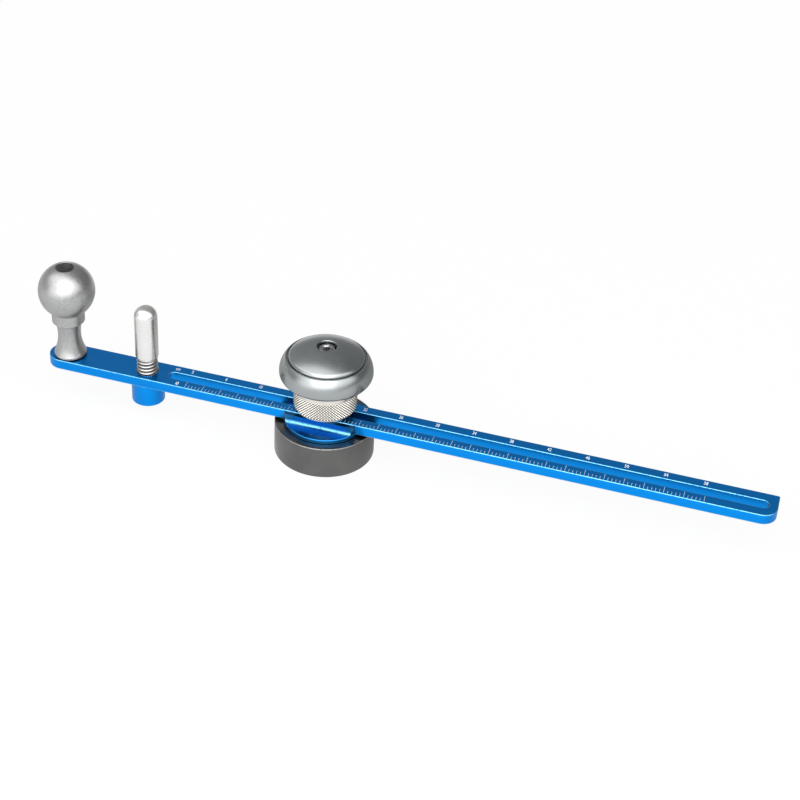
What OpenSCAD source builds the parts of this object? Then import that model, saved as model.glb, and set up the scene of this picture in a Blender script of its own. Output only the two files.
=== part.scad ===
// Circle cutter for glass and tile: a weighted pivot base, a slotted beam that
// slides through a carriage, a screw-down cutter post and a spinning ball handle.
// Millimetres. X runs along the beam towards its free end, Z is up, and the
// origin is on the pivot axis at the underside of the base pad.

/* [Base] */
// Diameter of the weighted base
base_d = 54.2; // [48:0.2:80]
// Height of the base from the ground to its top face
base_h = 19; // [17:0.5:30]
// Width of the turned bevel on the base's edges
base_edge = 0.4; // [0.2:0.1:0.8]
// Width of the base's rim round the pad
pad_rim = 1; // [0.9:0.1:3]
// Thickness of the rubber pad under the base
pad_t = 2.4; // [1.6:0.1:3]
// How far the pad stands below the base
pad_show = 0.5; // [0.5:0.1:1.2]
// Width of the bevel on the pad's lower edge
pad_edge = 0.4; // [0.2:0.1:0.5]
// Outer diameter of the pivot bush
bush_d = 20; // [18:0.5:26]
// Diameter of the bush's flange
flange_d = 30; // [28:0.5:40]
// Thickness of the bush's flange
flange_t = 1.2; // [0.8:0.1:2]
// How far the flange stands above the base
flange_show = 0.3; // [0.2:0.1:0.6]

/* [Carriage] */
// Diameter of the carriage disc
carriage_d = 44.8; // [40:0.2:53]
// Diameter of the hub that turns in the bush
hub_d = 16; // [14:0.5:17]
// Thickness of the floor under the beam
floor_t = 1.3; // [1:0.1:3]
// Height of the ledge above the carriage's underside
ledge_h = 2.1; // [1.6:0.1:4]
// Thickness of the two guide walls
wall_t = 2.65; // [1.5:0.05:4]
// How far the walls stop below the beam's top
wall_drop = 0.4; // [0.2:0.1:1]
// Radius of the cove at the foot of each wall
cove_r = 1.9; // [0.8:0.1:2]
// Width of the bevel round the carriage's ledge
ledge_edge = 0.35; // [0.1:0.05:0.8]

/* [Beam] */
// Width of the beam
beam_w = 18.5; // [17:0.5:24]
// Thickness of the beam
beam_t = 5.8; // [5:0.2:9]
// Cutting radius that the beam is set to
cut_radius = 103.9; // [60:0.1:240]
// Distance from the cutter axis to the handle axis
handle_reach = 47.2; // [36:0.2:80]
// Length of beam past the handle axis
beam_tail = 12.2; // [10:0.2:20]
// Width of the long slot
slot_w = 6.2; // [5.5:0.1:8]
// Distance from the cutter axis to the slot's near end
slot_start = 13.1; // [11:0.1:24]
// Length of the slot from end to end
slot_len = 323.2; // [280:0.2:500]
// Metal left past the slot at the free end
beam_nose = 4.6; // [3:0.1:12]
// Radius of the rounded front corner at the free end
nose_r = 8; // [3:0.5:12]

/* [Pivot stud and clamp nut] */
// Diameter of the stud's threaded part
stud_d = 10; // [9.5:0.5:12]
// Gap between the beam and the stud's lower shoulder
stud_gap = 0.3; // [0.1:0.1:1]
// Depth of the stud's tenon in the carriage
tenon_depth = 6; // [4:0.5:6.5]
// Diameter of the stud's journal for the palm knob
journal_d = 8; // [7:0.5:8.5]
// Outer diameter of the clamp washer
washer_d = 24; // [20:0.5:30]
// Thickness of the clamp washer
washer_t = 1.6; // [1:0.1:3]
// Diameter of the captive ring under the nut
ring_d = 24; // [18:0.5:28]
// Height of the captive ring below the nut
ring_show = 1.3; // [1:0.1:4]
// Depth of the ring's seat in the nut
ring_seat = 1.2; // [0.6:0.1:3]
// Diameter of the clamp nut over its grip
nut_d = 34.2; // [31:0.2:44]
// Height of the clamp nut
nut_h = 14.1; // [9:0.1:20]
// Height of the plain band above the nut's grip
nut_band = 2.9; // [1.5:0.1:5]
// How far the plain band lies inside the grip
band_in = 0.45; // [0.2:0.05:1]
// Width of the bevel on the nut's edges
nut_edge = 0.5; // [0.2:0.1:1]
// Room above the nut for unscrewing it
nut_room = 2.4; // [1.8:0.1:6]

/* [Palm knob] */
// Diameter of the palm knob
knob_d = 50.2; // [46:0.1:64]
// Height of the knob from its underside to the top of its crown
knob_h = 20.6; // [19.4:0.1:26]
// Radius of the knob's lower rim
low_r = 4.4; // [3:0.1:5]
// Width of the knob's swept upper rim
rim_w = 3.7; // [2.5:0.1:4.5]
// Height of the crown above the upper rim
crown_rise = 7; // [6:0.1:8]
// Width of the groove round the crown
groove_w = 0.9; // [0.5:0.1:1.5]
// Depth of the groove below the upper rim
groove_h = 1.5; // [0.6:0.1:2]
// Rounding of the crown's edge
crown_r = 2.9; // [1.5:0.1:4]
// Radius of the crown's dome
dome_r = 36; // [34:0.5:44]
// Diameter of the screw well in the crown
knob_well_d = 10.6; // [10.2:0.1:11.5]
// Depth of the screw well in the crown
knob_well_h = 7.8; // [7.2:0.1:9]
// Outer diameter of the knob's bush
knob_bush_d = 12; // [12:0.1:15]
// Diameter of the flange on the knob's bush
knob_flange_d = 18; // [16:0.5:24]
// Thickness of the flange on the knob's bush
knob_flange_t = 1; // [0.9:0.1:2]
// Gap between the stud's shoulder and the knob's underside
knob_gap = 0.8; // [0.4:0.1:0.9]

/* [Ball handle] */
// Diameter of the ball
ball_d = 31.6; // [26:0.2:40]
// Height of the ball's centre above the beam
ball_rise = 41.7; // [39:0.1:60]
// Diameter of the hole in the top of the ball
ball_hole_d = 10.5; // [10.4:0.1:12]
// Diameter of the collar under the ball
collar_d = 18.4; // [16.4:0.2:22]
// Height of the collar below the ball
collar_h = 7; // [4:0.1:9]
// Width of the bevel under the collar
collar_edge = 0.7; // [0.3:0.1:1.2]
// Diameter of the waist
neck_d = 12.9; // [12.4:0.1:15]
// Height of the waist above the beam
neck_rise = 13.8; // [10:0.1:17]
// Diameter of the foot
foot_d = 18.2; // [16:0.2:22]
// Height of the lip on the foot
foot_lip = 1.2; // [0.6:0.1:3]
// Diameter of the washer under the foot
foot_washer_d = 15.6; // [12:0.2:18]
// Thickness of the washer under the foot
foot_washer_t = 0.8; // [0.5:0.1:1.5]
// Outer diameter of the handle's bushes
handle_bush_d = 10; // [9.5:0.1:10.2]
// Length of each handle bush
handle_bush_len = 10; // [6:0.5:13]
// Height of the screw head's seat above the beam
handle_seat = 29.6; // [28:0.1:36]

/* [Cutter post] */
// Diameter of the post's smooth grip
post_d = 12.9; // [12.4:0.1:16]
// Height of the post's smooth grip
post_h = 31.8; // [24:0.1:50]
// Rounding of the post's top
post_round = 5.6; // [3:0.1:6]
// Bevel at the lower end of the grip
post_edge = 0.9; // [0.3:0.1:2]
// Room left under the grip when the wheel is down
post_room = 0.7; // [0.3:0.1:3]
// Outer diameter of the post's thread
thread_d = 11.7; // [11.2:0.1:12]
// Height of the boss below the beam
boss_h = 12.9; // [10:0.1:14]
// Bevel round the boss's lower edge
boss_edge = 0.4; // [0.2:0.1:1]
// Diameter of the boss's spigot in the beam
spigot_d = 14.6; // [14:0.1:16]
// Beam thickness left above the spigot
spigot_roof = 1.6; // [1:0.1:3]

/* [Cutting head] */
// How far the wheel hides inside the boss when it is raised
wheel_recess = 0.9; // [0.3:0.1:2]
// Diameter of the cutting wheel
wheel_d = 5.2; // [4.6:0.1:5.8]
// Thickness of the cutting wheel
wheel_t = 1.1; // [0.8:0.1:1.6]
// Width of the bevel on each side of the wheel's cutting edge
wheel_edge = 0.3; // [0.2:0.05:0.6]
// How far the wheel shows below its holder
wheel_show = 1; // [0.6:0.1:1.2]
// Distance that the wheel trails behind the swivel axis
wheel_trail = 0.5; // [0:0.1:0.9]
// Diameter of the wheel's axle
axle_d = 1.3; // [1:0.1:1.6]
// Diameter of the wheel holder's head
holder_d = 9.4; // [8:0.1:10.6]
// Metal left above the wheel in its holder
holder_roof = 1.3; // [0.8:0.1:2]
// Diameter of the wheel holder's stem
stem_d = 5; // [4.9:0.1:5.4]
// Length of the wheel holder's stem
stem_len = 9; // [7:0.5:11]
// Diameter of the thrust ball above the stem
thrust_d = 4.8; // [4:0.1:4.9]
// Height of the stem's snap ring above the post's lower end
stem_ring_rise = 3; // [1.5:0.1:5]
// Thickness of the stem's snap ring
stem_ring_t = 1; // [0.6:0.1:1.4]
// Depth of the snap ring's grooves in the stem and in the post
stem_groove = 0.6; // [0.4:0.05:0.8]

/* [Fasteners] */
// Diameter of the hub screw's thread
hub_screw_d = 5; // [4:0.5:6]
// Length of the hub screw's thread
hub_screw_len = 7.5; // [5:0.5:8.5]
// Diameter of the hub screw's head
hub_head_d = 9; // [8:0.5:11]
// Height of the hub screw's head
hub_head_h = 1.5; // [1.2:0.1:2]
// Width across the flats of the hub screw's socket
hub_key = 3; // [2:0.5:4]
// How far the hub washer reaches past the bush
hub_washer_lap = 2; // [1:0.5:3]
// Thickness of the hub washer
hub_washer_t = 1.6; // [1:0.1:2]
// Room round the hub washer and under its screw
well_room = 0.4; // [0.3:0.1:1.5]
// Diameter of the knob screw's thread
knob_screw_d = 5; // [4:0.5:5.5]
// Length of the knob screw's thread
knob_screw_len = 10; // [7:0.5:12]
// Diameter of the knob screw's head
knob_head_d = 8.5; // [7:0.1:9]
// Height of the knob screw's head
knob_head_h = 5; // [4:0.1:6]
// Width across the flats of the knob screw's socket
knob_key = 4; // [3:0.5:5]
// Thickness of the knob washer
knob_washer_t = 1; // [0.6:0.1:1.5]
// Diameter of the handle screw's shoulder
shoulder_d = 8; // [7:0.5:8.5]
// Diameter of the handle screw's thread
handle_thread_d = 6; // [5:0.5:6.5]
// How far the handle screw's head reaches past its shoulder
handle_head_lap = 1; // [0.7:0.05:1.1]
// Height of the handle screw's head
handle_head_h = 5; // [4:0.5:8]
// Width across the flats of the handle screw's socket
handle_key = 5; // [3:0.5:6]
// Metal left under each hexagon socket
socket_floor = 0.7; // [0.4:0.1:0.9]

/* [Fits] */
// Radial running clearance
run_gap = 0.04; // [0.02:0.01:0.08]
// Radial clearance of pressed and screwed fits
press_gap = 0.01; // [0.005:0.005:0.02]
// Sliding clearance beside the beam
slide_gap = 0.1; // [0.05:0.05:0.3]
// End play of turning pieces
end_gap = 0.1; // [0.05:0.05:0.2]
// Clearance round loose washers and screw heads
loose_gap = 0.25; // [0.1:0.05:0.4]

/* [Hidden] */
$fn = 96;
// Overlap of joined shapes and overshoot of cuts
over = 1;

// Colours
blue = [0.05, 0.36, 0.72];
satin = [0.62, 0.63, 0.65];
steel = [0.78, 0.78, 0.76];
dark = [0.27, 0.27, 0.28];
black = [0.08, 0.08, 0.09];
bronze = [0.66, 0.47, 0.26];
brass = [0.80, 0.66, 0.34];

// Levels of the pivot stack, from the ground up
well_top = pad_t + well_room + hub_head_h + hub_washer_t + end_gap;
flange_top = base_h + flange_show;
flange_z = flange_top - flange_t;
carriage_z = flange_top;
ledge_z = carriage_z + ledge_h;
beam_z = carriage_z + floor_t;
beam_top = beam_z + beam_t;
wall_top = beam_top - wall_drop;
washer_top = beam_top + washer_t;
nut_z = washer_top + ring_show;
nut_top = nut_z + nut_h;
shoulder_z = nut_top + nut_room;

// Pad, hub and retaining washer
pad_d = base_d - 2 * pad_rim;
hub_z = well_top - end_gap;
hub_seat = hub_z - hub_washer_t;
hub_washer_d = bush_d + 2 * hub_washer_lap;
well_d = hub_washer_d + 2 * well_room;

// Stud through the slot
tenon_d = slot_w - 2 * slide_gap;
stud_foot = beam_top + stud_gap;

// Knob levels and radii
knob_z = shoulder_z + knob_gap;
knob_top = knob_z + knob_h;
waist_z = knob_z + low_r;
rim_top = knob_top - crown_rise;
rim_h = rim_top - waist_z;
rim_r = (pow(rim_w, 2) + pow(rim_h, 2)) / (2 * rim_w);
groove_out = knob_d / 2 - rim_w;
groove_in = groove_out - groove_w;
crown_turn = groove_in - crown_r;
crown_z = knob_top - dome_r + sqrt(pow(dome_r - crown_r, 2) - pow(crown_turn, 2));
journal_top = knob_top - knob_well_h;
knob_bush_top = journal_top - end_gap;

// Places along the beam
cutter_x = -cut_radius;
handle_x = cutter_x - handle_reach;
beam_start = handle_x - beam_tail;
slot_from = cutter_x + slot_start;
slot_to = slot_from + slot_len;
beam_end = slot_to + beam_nose;
channel_w = beam_w + 2 * slide_gap;

// Cutter levels
boss_z = beam_z - boss_h;
boss_d = beam_w;
feed_travel = boss_z + wheel_recess;
post_z = beam_top + feed_travel + post_room;
post_top = post_z + post_h;
wheel_z = feed_travel + wheel_d / 2;
head_z = feed_travel + wheel_show;
fork_top = wheel_z + wheel_d / 2 + loose_gap;
head_top = fork_top + holder_roof;
thread_z = head_top + 2 * end_gap;
stem_top = head_top + stem_len;
thrust_z = stem_top + (thrust_d + end_gap) / 2;
bore_top = thrust_z + (thrust_d + end_gap) / 2;
bore_d = stem_d + 2 * run_gap;
stem_ring_z = thread_z + stem_ring_rise;
stem_groove_d = stem_d - 2 * stem_groove;
stem_ring_d = stem_d + 2 * stem_groove;
fork_w = wheel_t + 2 * end_gap;

// Handle levels
foot_z = beam_top + foot_washer_t;
ball_z = beam_top + ball_rise;
collar_z = ball_z - sqrt(pow(ball_d / 2, 2) - pow(collar_d / 2, 2)) - collar_h;
neck_z = beam_top + neck_rise;
seat_z = beam_top + handle_seat;
flare_z = foot_z + foot_lip;
flare_in = (foot_d - neck_d) / 2;
flare_r = (pow(flare_in, 2) + pow(neck_z - flare_z, 2)) / (2 * flare_in);
handle_head_d = shoulder_d + 2 * handle_head_lap;

echo(beam_length = beam_end - beam_start, feed_travel = feed_travel, height = ball_z + ball_d / 2);

// A ring or disc standing on z
module ring(outer, inner, z, h) {
  translate([0, 0, z])
    difference() {
      cylinder(d = outer, h = h);
      translate([0, 0, -over]) cylinder(d = inner, h = h + 2 * over);
    }
}

// A rectangle of a turned profile, between two radii and two levels
module turned(r0, r1, z0, z1) {
  translate([r0, z0]) square([r1 - r0, z1 - z0]);
}

// A round hole between two levels
module bore(d, z0, z1) {
  translate([0, 0, z0]) cylinder(d = d, h = z1 - z0);
}

// Socket screw: thread from thread_end up to the seat, head standing on the seat
module socket_screw(d, thread_end, seat, head_d, head_h, key) {
  difference() {
    union() {
      bore(d, thread_end, seat + socket_floor);
      bore(head_d, seat, seat + head_h);
    }
    translate([0, 0, seat + socket_floor])
      cylinder(d = key / cos(30), h = head_h, $fn = 6);
  }
}

module base_body() {
  r = base_d / 2;
  color(dark)
    rotate_extrude()
      difference() {
        polygon([[0, pad_show], [r - base_edge, pad_show], [r, pad_show + base_edge],
                 [r, base_h - base_edge], [r - base_edge, base_h], [0, base_h]]);
        turned(-over, pad_d / 2 + press_gap, pad_show - over, pad_t);
        turned(-over, well_d / 2, pad_t - over, well_top);
        turned(-over, bush_d / 2 + press_gap, well_top - over, base_h + over);
        turned(-over, flange_d / 2 + loose_gap, flange_z, base_h + over);
      }
}

module base_pad() {
  r = pad_d / 2;
  color(black)
    rotate_extrude()
      polygon([[0, 0], [r - pad_edge, 0], [r, pad_edge], [r, pad_t], [0, pad_t]]);
}

module pivot_bush() {
  inner = hub_d / 2 + run_gap;
  color(bronze)
    rotate_extrude() {
      turned(inner, bush_d / 2, well_top, flange_top);
      turned(inner, flange_d / 2, flange_z, flange_top);
    }
}

// One guide wall and ledge in section, for the front or the back
module carriage_side() {
  wall_in = channel_w / 2;
  wall_out = wall_in + wall_t;
  difference() {
    union() {
      turned(0, carriage_d, carriage_z, ledge_z);
      turned(wall_in - over, wall_out, carriage_z, wall_top);
      turned(wall_out - over, wall_out + cove_r, carriage_z, ledge_z + cove_r);
    }
    translate([wall_out + cove_r, ledge_z + cove_r]) circle(r = cove_r);
    turned(-over, wall_in, beam_z, wall_top + over);
  }
}

// Turned disc with the beam's channel milled across it, and the hub below
module carriage() {
  r = carriage_d / 2;
  color(blue)
    difference() {
      union() {
        intersection() {
          rotate_extrude()
            polygon([[0, carriage_z], [r, carriage_z], [r, ledge_z - ledge_edge],
                     [r - ledge_edge, ledge_z], [r - ledge_edge, wall_top], [0, wall_top]]);
          rotate([90, 0, 90])
            linear_extrude(height = carriage_d + 2 * over, center = true) {
              carriage_side();
              mirror([1, 0]) carriage_side();
            }
        }
        bore(hub_d, hub_z, carriage_z + floor_t / 2);
      }
      bore(tenon_d + 2 * press_gap, beam_z - tenon_depth, beam_z + over);
      bore(hub_screw_d + 2 * press_gap, hub_z - over, hub_seat + hub_screw_len + end_gap);
    }
}

module hub_washer() {
  color(steel)
    ring(hub_washer_d, hub_screw_d + 2 * loose_gap, hub_seat, hub_washer_t);
}

// The hub screw is driven from below, so it is drawn upright and turned over
module hub_screw() {
  color(steel)
    translate([0, 0, hub_seat])
      rotate([180, 0, 0])
        socket_screw(hub_screw_d, -hub_screw_len, 0, hub_head_d, hub_head_h, hub_key);
}

module pivot_stud() {
  color(steel)
    difference() {
      rotate_extrude() {
        turned(0, tenon_d / 2, beam_z - tenon_depth, stud_foot);
        turned(0, stud_d / 2, stud_foot, shoulder_z);
        turned(0, journal_d / 2, shoulder_z, journal_top);
      }
      bore(knob_screw_d + 2 * press_gap, journal_top - knob_screw_len, journal_top + over);
    }
}

module clamp_washer() {
  color(steel)
    ring(washer_d, stud_d + 2 * loose_gap, beam_top, washer_t);
}

module nut_ring() {
  color(brass)
    ring(ring_d, stud_d + 2 * loose_gap, washer_top, ring_show + ring_seat - end_gap);
}

module clamp_nut() {
  r = nut_d / 2;
  band_r = r - band_in;
  band_z = nut_top - nut_band;
  color(steel)
    rotate_extrude()
      difference() {
        polygon([[0, nut_z], [r - nut_edge, nut_z], [r, nut_z + nut_edge], [r, band_z],
                 [band_r, band_z + band_in], [band_r, nut_top - nut_edge],
                 [band_r - nut_edge, nut_top], [0, nut_top]]);
        turned(-over, stud_d / 2 + run_gap, nut_z - over, nut_top + over);
        turned(-over, ring_d / 2 + loose_gap, nut_z - over, nut_z + ring_seat);
      }
}

// Crown in section: a dome whose edge turns down into the groove
module crown_section() {
  turned(0, groove_in, waist_z, crown_z);
  translate([crown_turn, crown_z]) circle(r = crown_r);
  intersection() {
    translate([0, knob_top - dome_r]) circle(r = dome_r);
    turned(0, crown_turn * dome_r / (dome_r - crown_r), waist_z, knob_top);
  }
}

// The knob in section: rolled lower rim, swept upper rim, groove and crown
module knob_section() {
  r = knob_d / 2;
  turned(0, r - low_r, knob_z, waist_z);
  translate([r - low_r, waist_z]) circle(r = low_r);
  difference() {
    union() {
      turned(0, r - rim_r, waist_z, rim_top);
      intersection() {
        translate([r - rim_r, waist_z]) circle(r = rim_r);
        turned(0, r, waist_z, rim_top);
      }
    }
    turned(-over, groove_out, rim_top - groove_h, rim_top + over);
  }
  crown_section();
}

module palm_knob() {
  color(satin)
    rotate_extrude()
      difference() {
        knob_section();
        turned(-over, knob_flange_d / 2 + loose_gap, knob_z - over, shoulder_z + knob_flange_t);
        turned(-over, knob_bush_d / 2 + press_gap, knob_z - over, knob_bush_top);
        turned(-over, knob_well_d / 2, knob_bush_top - over, knob_top + over);
      }
}

module knob_bush() {
  inner = journal_d / 2 + run_gap;
  color(bronze)
    rotate_extrude() {
      turned(inner, knob_bush_d / 2, shoulder_z, knob_bush_top);
      turned(inner, knob_flange_d / 2, shoulder_z, shoulder_z + knob_flange_t);
    }
}

module knob_washer() {
  color(steel)
    ring(knob_well_d - 2 * loose_gap, knob_screw_d + 2 * press_gap, journal_top, knob_washer_t);
}

module knob_screw() {
  seat = journal_top + knob_washer_t;
  color(steel)
    socket_screw(knob_screw_d, seat - knob_screw_len, seat, knob_head_d, knob_head_h, knob_key);
}

// Plan of the beam: round at the handle, one rounded corner at the free end
module beam_plan() {
  half = beam_w / 2;
  difference() {
    union() {
      translate([beam_start + half, 0]) circle(d = beam_w);
      translate([beam_start + half, -half]) square([beam_end - nose_r - beam_start - half, beam_w]);
      translate([beam_end - nose_r - over, nose_r - half]) square([nose_r + over, beam_w - nose_r]);
      translate([beam_end - nose_r, nose_r - half]) circle(r = nose_r);
    }
    translate([slot_from + slot_w / 2, -slot_w / 2]) square([slot_len - slot_w, slot_w]);
    translate([slot_from + slot_w / 2, 0]) circle(d = slot_w);
    translate([slot_to - slot_w / 2, 0]) circle(d = slot_w);
  }
}

module beam() {
  color(blue)
    difference() {
      translate([0, 0, beam_z]) linear_extrude(height = beam_t) beam_plan();
      translate([cutter_x, 0, 0]) {
        bore(spigot_d + 2 * press_gap, beam_z - over, beam_top - spigot_roof);
        bore(thread_d + 2 * loose_gap, beam_z - over, beam_top + over);
      }
      translate([handle_x, 0, 0])
        bore(handle_thread_d + 2 * press_gap, beam_z - over, beam_top + over);
    }
}

module cutter_boss() {
  r = boss_d / 2;
  color(blue)
    translate([cutter_x, 0, 0])
      rotate_extrude()
        difference() {
          union() {
            polygon([[0, boss_z], [r - boss_edge, boss_z], [r, boss_z + boss_edge], [r, beam_z], [0, beam_z]]);
            turned(0, spigot_d / 2, boss_z, beam_top - spigot_roof);
          }
          turned(-over, thread_d / 2 + run_gap, boss_z - over, beam_top);
        }
}

// The handle in section: lipped foot, flared waist, bevelled collar
module handle_section() {
  r = collar_d / 2;
  difference() {
    turned(0, foot_d / 2, foot_z, collar_z + collar_edge);
    translate([neck_d / 2 + flare_r, neck_z]) circle(r = flare_r);
  }
  polygon([[0, collar_z], [r - collar_edge, collar_z], [r, collar_z + collar_edge], [r, ball_z], [0, ball_z]]);
}

module ball_handle() {
  color(satin)
    translate([handle_x, 0, 0])
      difference() {
        union() {
          rotate_extrude() handle_section();
          translate([0, 0, ball_z]) sphere(d = ball_d);
        }
        bore(handle_bush_d + 2 * press_gap, foot_z - over, seat_z);
        bore(ball_hole_d, seat_z - over, ball_z + ball_d);
      }
}

module handle_washer() {
  color(black)
    translate([handle_x, 0, 0])
      ring(foot_washer_d, shoulder_d + 2 * loose_gap, beam_top, foot_washer_t);
}

// Two alike sleeves, at the foot and under the screw's head
module handle_bushes() {
  color(bronze)
    translate([handle_x, 0, 0])
      for (z = [foot_z, seat_z - handle_bush_len])
        ring(handle_bush_d, shoulder_d + 2 * run_gap, z, handle_bush_len);
}

module handle_screw() {
  color(steel)
    translate([handle_x, 0, 0]) {
      socket_screw(shoulder_d, beam_top, seat_z + end_gap, handle_head_d, handle_head_h, handle_key);
      bore(handle_thread_d, beam_z + slide_gap, beam_top + over);
    }
}

// The post in section: threaded shank, bevelled grip and round top
module post_section() {
  r = post_d / 2;
  round_z = post_top - post_round;
  turned(0, thread_d / 2, thread_z, post_z + post_edge);
  polygon([[0, post_z], [thread_d / 2, post_z], [r, post_z + post_edge], [r, round_z], [0, round_z]]);
  turned(0, r - post_round, post_z + post_edge, post_top);
  intersection() {
    translate([r - post_round, round_z]) circle(r = post_round);
    turned(0, r, post_z + post_edge, post_top);
  }
}

module cutter_post() {
  color(steel)
    translate([cutter_x, 0, 0])
      rotate_extrude()
        difference() {
          post_section();
          turned(-over, bore_d / 2, thread_z - over, bore_top);
          turned(-over, stem_ring_d / 2 + press_gap,
                 stem_ring_z - press_gap, stem_ring_z + stem_ring_t + press_gap);
        }
}

module thrust_ball() {
  color(steel)
    translate([cutter_x, 0, thrust_z]) sphere(d = thrust_d);
}

module stem_ring() {
  color(steel)
    translate([cutter_x, 0, 0])
      ring(stem_ring_d, stem_groove_d + 2 * loose_gap, stem_ring_z, stem_ring_t);
}

// Swivelling holder: a slotted head for the wheel and a grooved stem in the post
module wheel_holder() {
  color(brass)
    translate([cutter_x, 0, 0])
      difference() {
        rotate_extrude()
          difference() {
            union() {
              turned(0, holder_d / 2, head_z, head_top);
              turned(0, stem_d / 2, head_z, stem_top);
            }
            turned(stem_groove_d / 2, stem_d, stem_ring_z - end_gap, stem_ring_z + stem_ring_t + end_gap);
          }
        translate([-fork_w / 2, -holder_d, head_z - over])
          cube([fork_w, 2 * holder_d, fork_top - head_z + over]);
        translate([0, -wheel_trail, wheel_z])
          rotate([0, 90, 0])
            cylinder(d = axle_d + 2 * press_gap, h = 2 * holder_d, center = true);
      }
}

module wheel_axle() {
  axle_len = 2 * sqrt(pow(holder_d / 2, 2) - pow(wheel_trail + axle_d / 2, 2)) - loose_gap;
  color(steel)
    translate([cutter_x, -wheel_trail, wheel_z])
      rotate([0, 90, 0])
        cylinder(d = axle_d, h = axle_len, center = true);
}

module cutting_wheel() {
  r = wheel_d / 2;
  half = wheel_t / 2;
  eye_r = axle_d / 2 + run_gap;
  color(steel)
    translate([cutter_x, -wheel_trail, wheel_z])
      rotate([0, 90, 0])
        rotate_extrude()
          polygon([[eye_r, -half], [r - wheel_edge, -half], [r, 0], [r - wheel_edge, half], [eye_r, half]]);
}

base_body();
base_pad();
pivot_bush();
carriage();
hub_washer();
hub_screw();
pivot_stud();
clamp_washer();
nut_ring();
clamp_nut();
palm_knob();
knob_bush();
knob_washer();
knob_screw();
beam();
cutter_boss();
ball_handle();
handle_washer();
handle_bushes();
handle_screw();
cutter_post();
thrust_ball();
stem_ring();
wheel_holder();
wheel_axle();
cutting_wheel();
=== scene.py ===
# %% [markdown]
# # Circle cutter
# A beam compass for scoring circles in glass and tile: a weighted base, a blue slotted beam
# with a scale, a palm knob, a knurled clamp nut, a screw-down cutter post and a ball handle.
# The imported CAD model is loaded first. It is the frame that every piece below is fitted to,
# so lengths here are millimetres in the CAD model's own axes, and the mesh holds the place.

import bmesh
import bpy
import numpy as np
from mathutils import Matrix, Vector
from mathutils.geometry import delaunay_2d_cdt


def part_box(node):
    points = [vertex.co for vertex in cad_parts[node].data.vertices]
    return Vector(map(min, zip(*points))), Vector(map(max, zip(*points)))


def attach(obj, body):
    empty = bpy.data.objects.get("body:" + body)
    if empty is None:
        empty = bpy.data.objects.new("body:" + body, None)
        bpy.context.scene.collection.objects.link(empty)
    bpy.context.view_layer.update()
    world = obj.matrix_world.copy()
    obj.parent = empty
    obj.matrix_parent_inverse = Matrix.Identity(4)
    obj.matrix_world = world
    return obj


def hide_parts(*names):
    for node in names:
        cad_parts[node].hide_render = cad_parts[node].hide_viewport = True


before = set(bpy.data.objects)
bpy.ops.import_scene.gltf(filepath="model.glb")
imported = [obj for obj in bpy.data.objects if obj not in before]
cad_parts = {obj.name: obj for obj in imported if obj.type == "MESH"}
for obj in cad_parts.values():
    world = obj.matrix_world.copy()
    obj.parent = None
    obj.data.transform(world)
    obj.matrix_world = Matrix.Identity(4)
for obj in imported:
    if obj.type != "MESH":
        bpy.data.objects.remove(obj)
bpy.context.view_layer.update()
MM = 0.001

# %% [markdown]
# ## Putting arrays into a mesh
# Each piece is worked out as an array of points and an array of four-sided faces. Points that
# fall on each other, such as all those at a pole, are merged, and the faces there become
# triangles. A vertex attribute called edge keeps where a corner was rounded, so that a
# material can wear the finish there and paint a highlight along it.


# %% Mesh helpers
def weld(points, quads):
    """Merges points nearer than 0.1 micron: returns which to keep, the quads and the triangles."""
    key = np.round(points * 1e4).astype(np.int64)
    _, first, back = np.unique(key, axis=0, return_index=True, return_inverse=True)
    quads = back.reshape(-1)[quads]
    same = quads == np.roll(quads, -1, axis=1)
    count = same.sum(axis=1)
    tris = quads[count == 1][~same[count == 1]].reshape(-1, 3)
    return first, quads[count == 0], tris


def put_mesh(name, points, faces, **values):
    """Puts points in millimetres and lists of corners into a smooth object at the origin.

    Each named array of values, one for each point, becomes a vertex attribute.
    """
    mesh = bpy.data.meshes.new(name)
    mesh.from_pydata((points * MM).tolist(), [], faces)
    for label, value in values.items():
        layer = mesh.attributes.new(label, "FLOAT", "POINT")
        layer.data.foreach_set("value", value.astype(np.float32))
    mesh.polygons.foreach_set("use_smooth", np.ones(len(mesh.polygons), dtype=bool))
    mesh.update()
    obj = bpy.data.objects.new(name, mesh)
    bpy.context.scene.collection.objects.link(obj)
    return obj


def place(obj, body, slot, material, *nodes):
    """Gives a piece its material, its body and the CAD nodes it stands for. Its slot argument is not
    used.
    """
    obj.data.materials.append(material)
    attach(obj, body)
    if nodes:
        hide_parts(*nodes)
    print(obj.name, "rides on", body, "with", len(obj.data.polygons), "faces")


# %% [markdown]
# ## Turned profiles
# Most pieces of this tool come off a lathe. A profile is a short list of corners with a
# radius for each. The corners are rounded as a turner breaks an edge, and two extra points
# beside each arc keep the flats beside it flat when the surface is shaded smooth.

# %% Rounded profiles and turning
HOLD = 0.06


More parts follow.
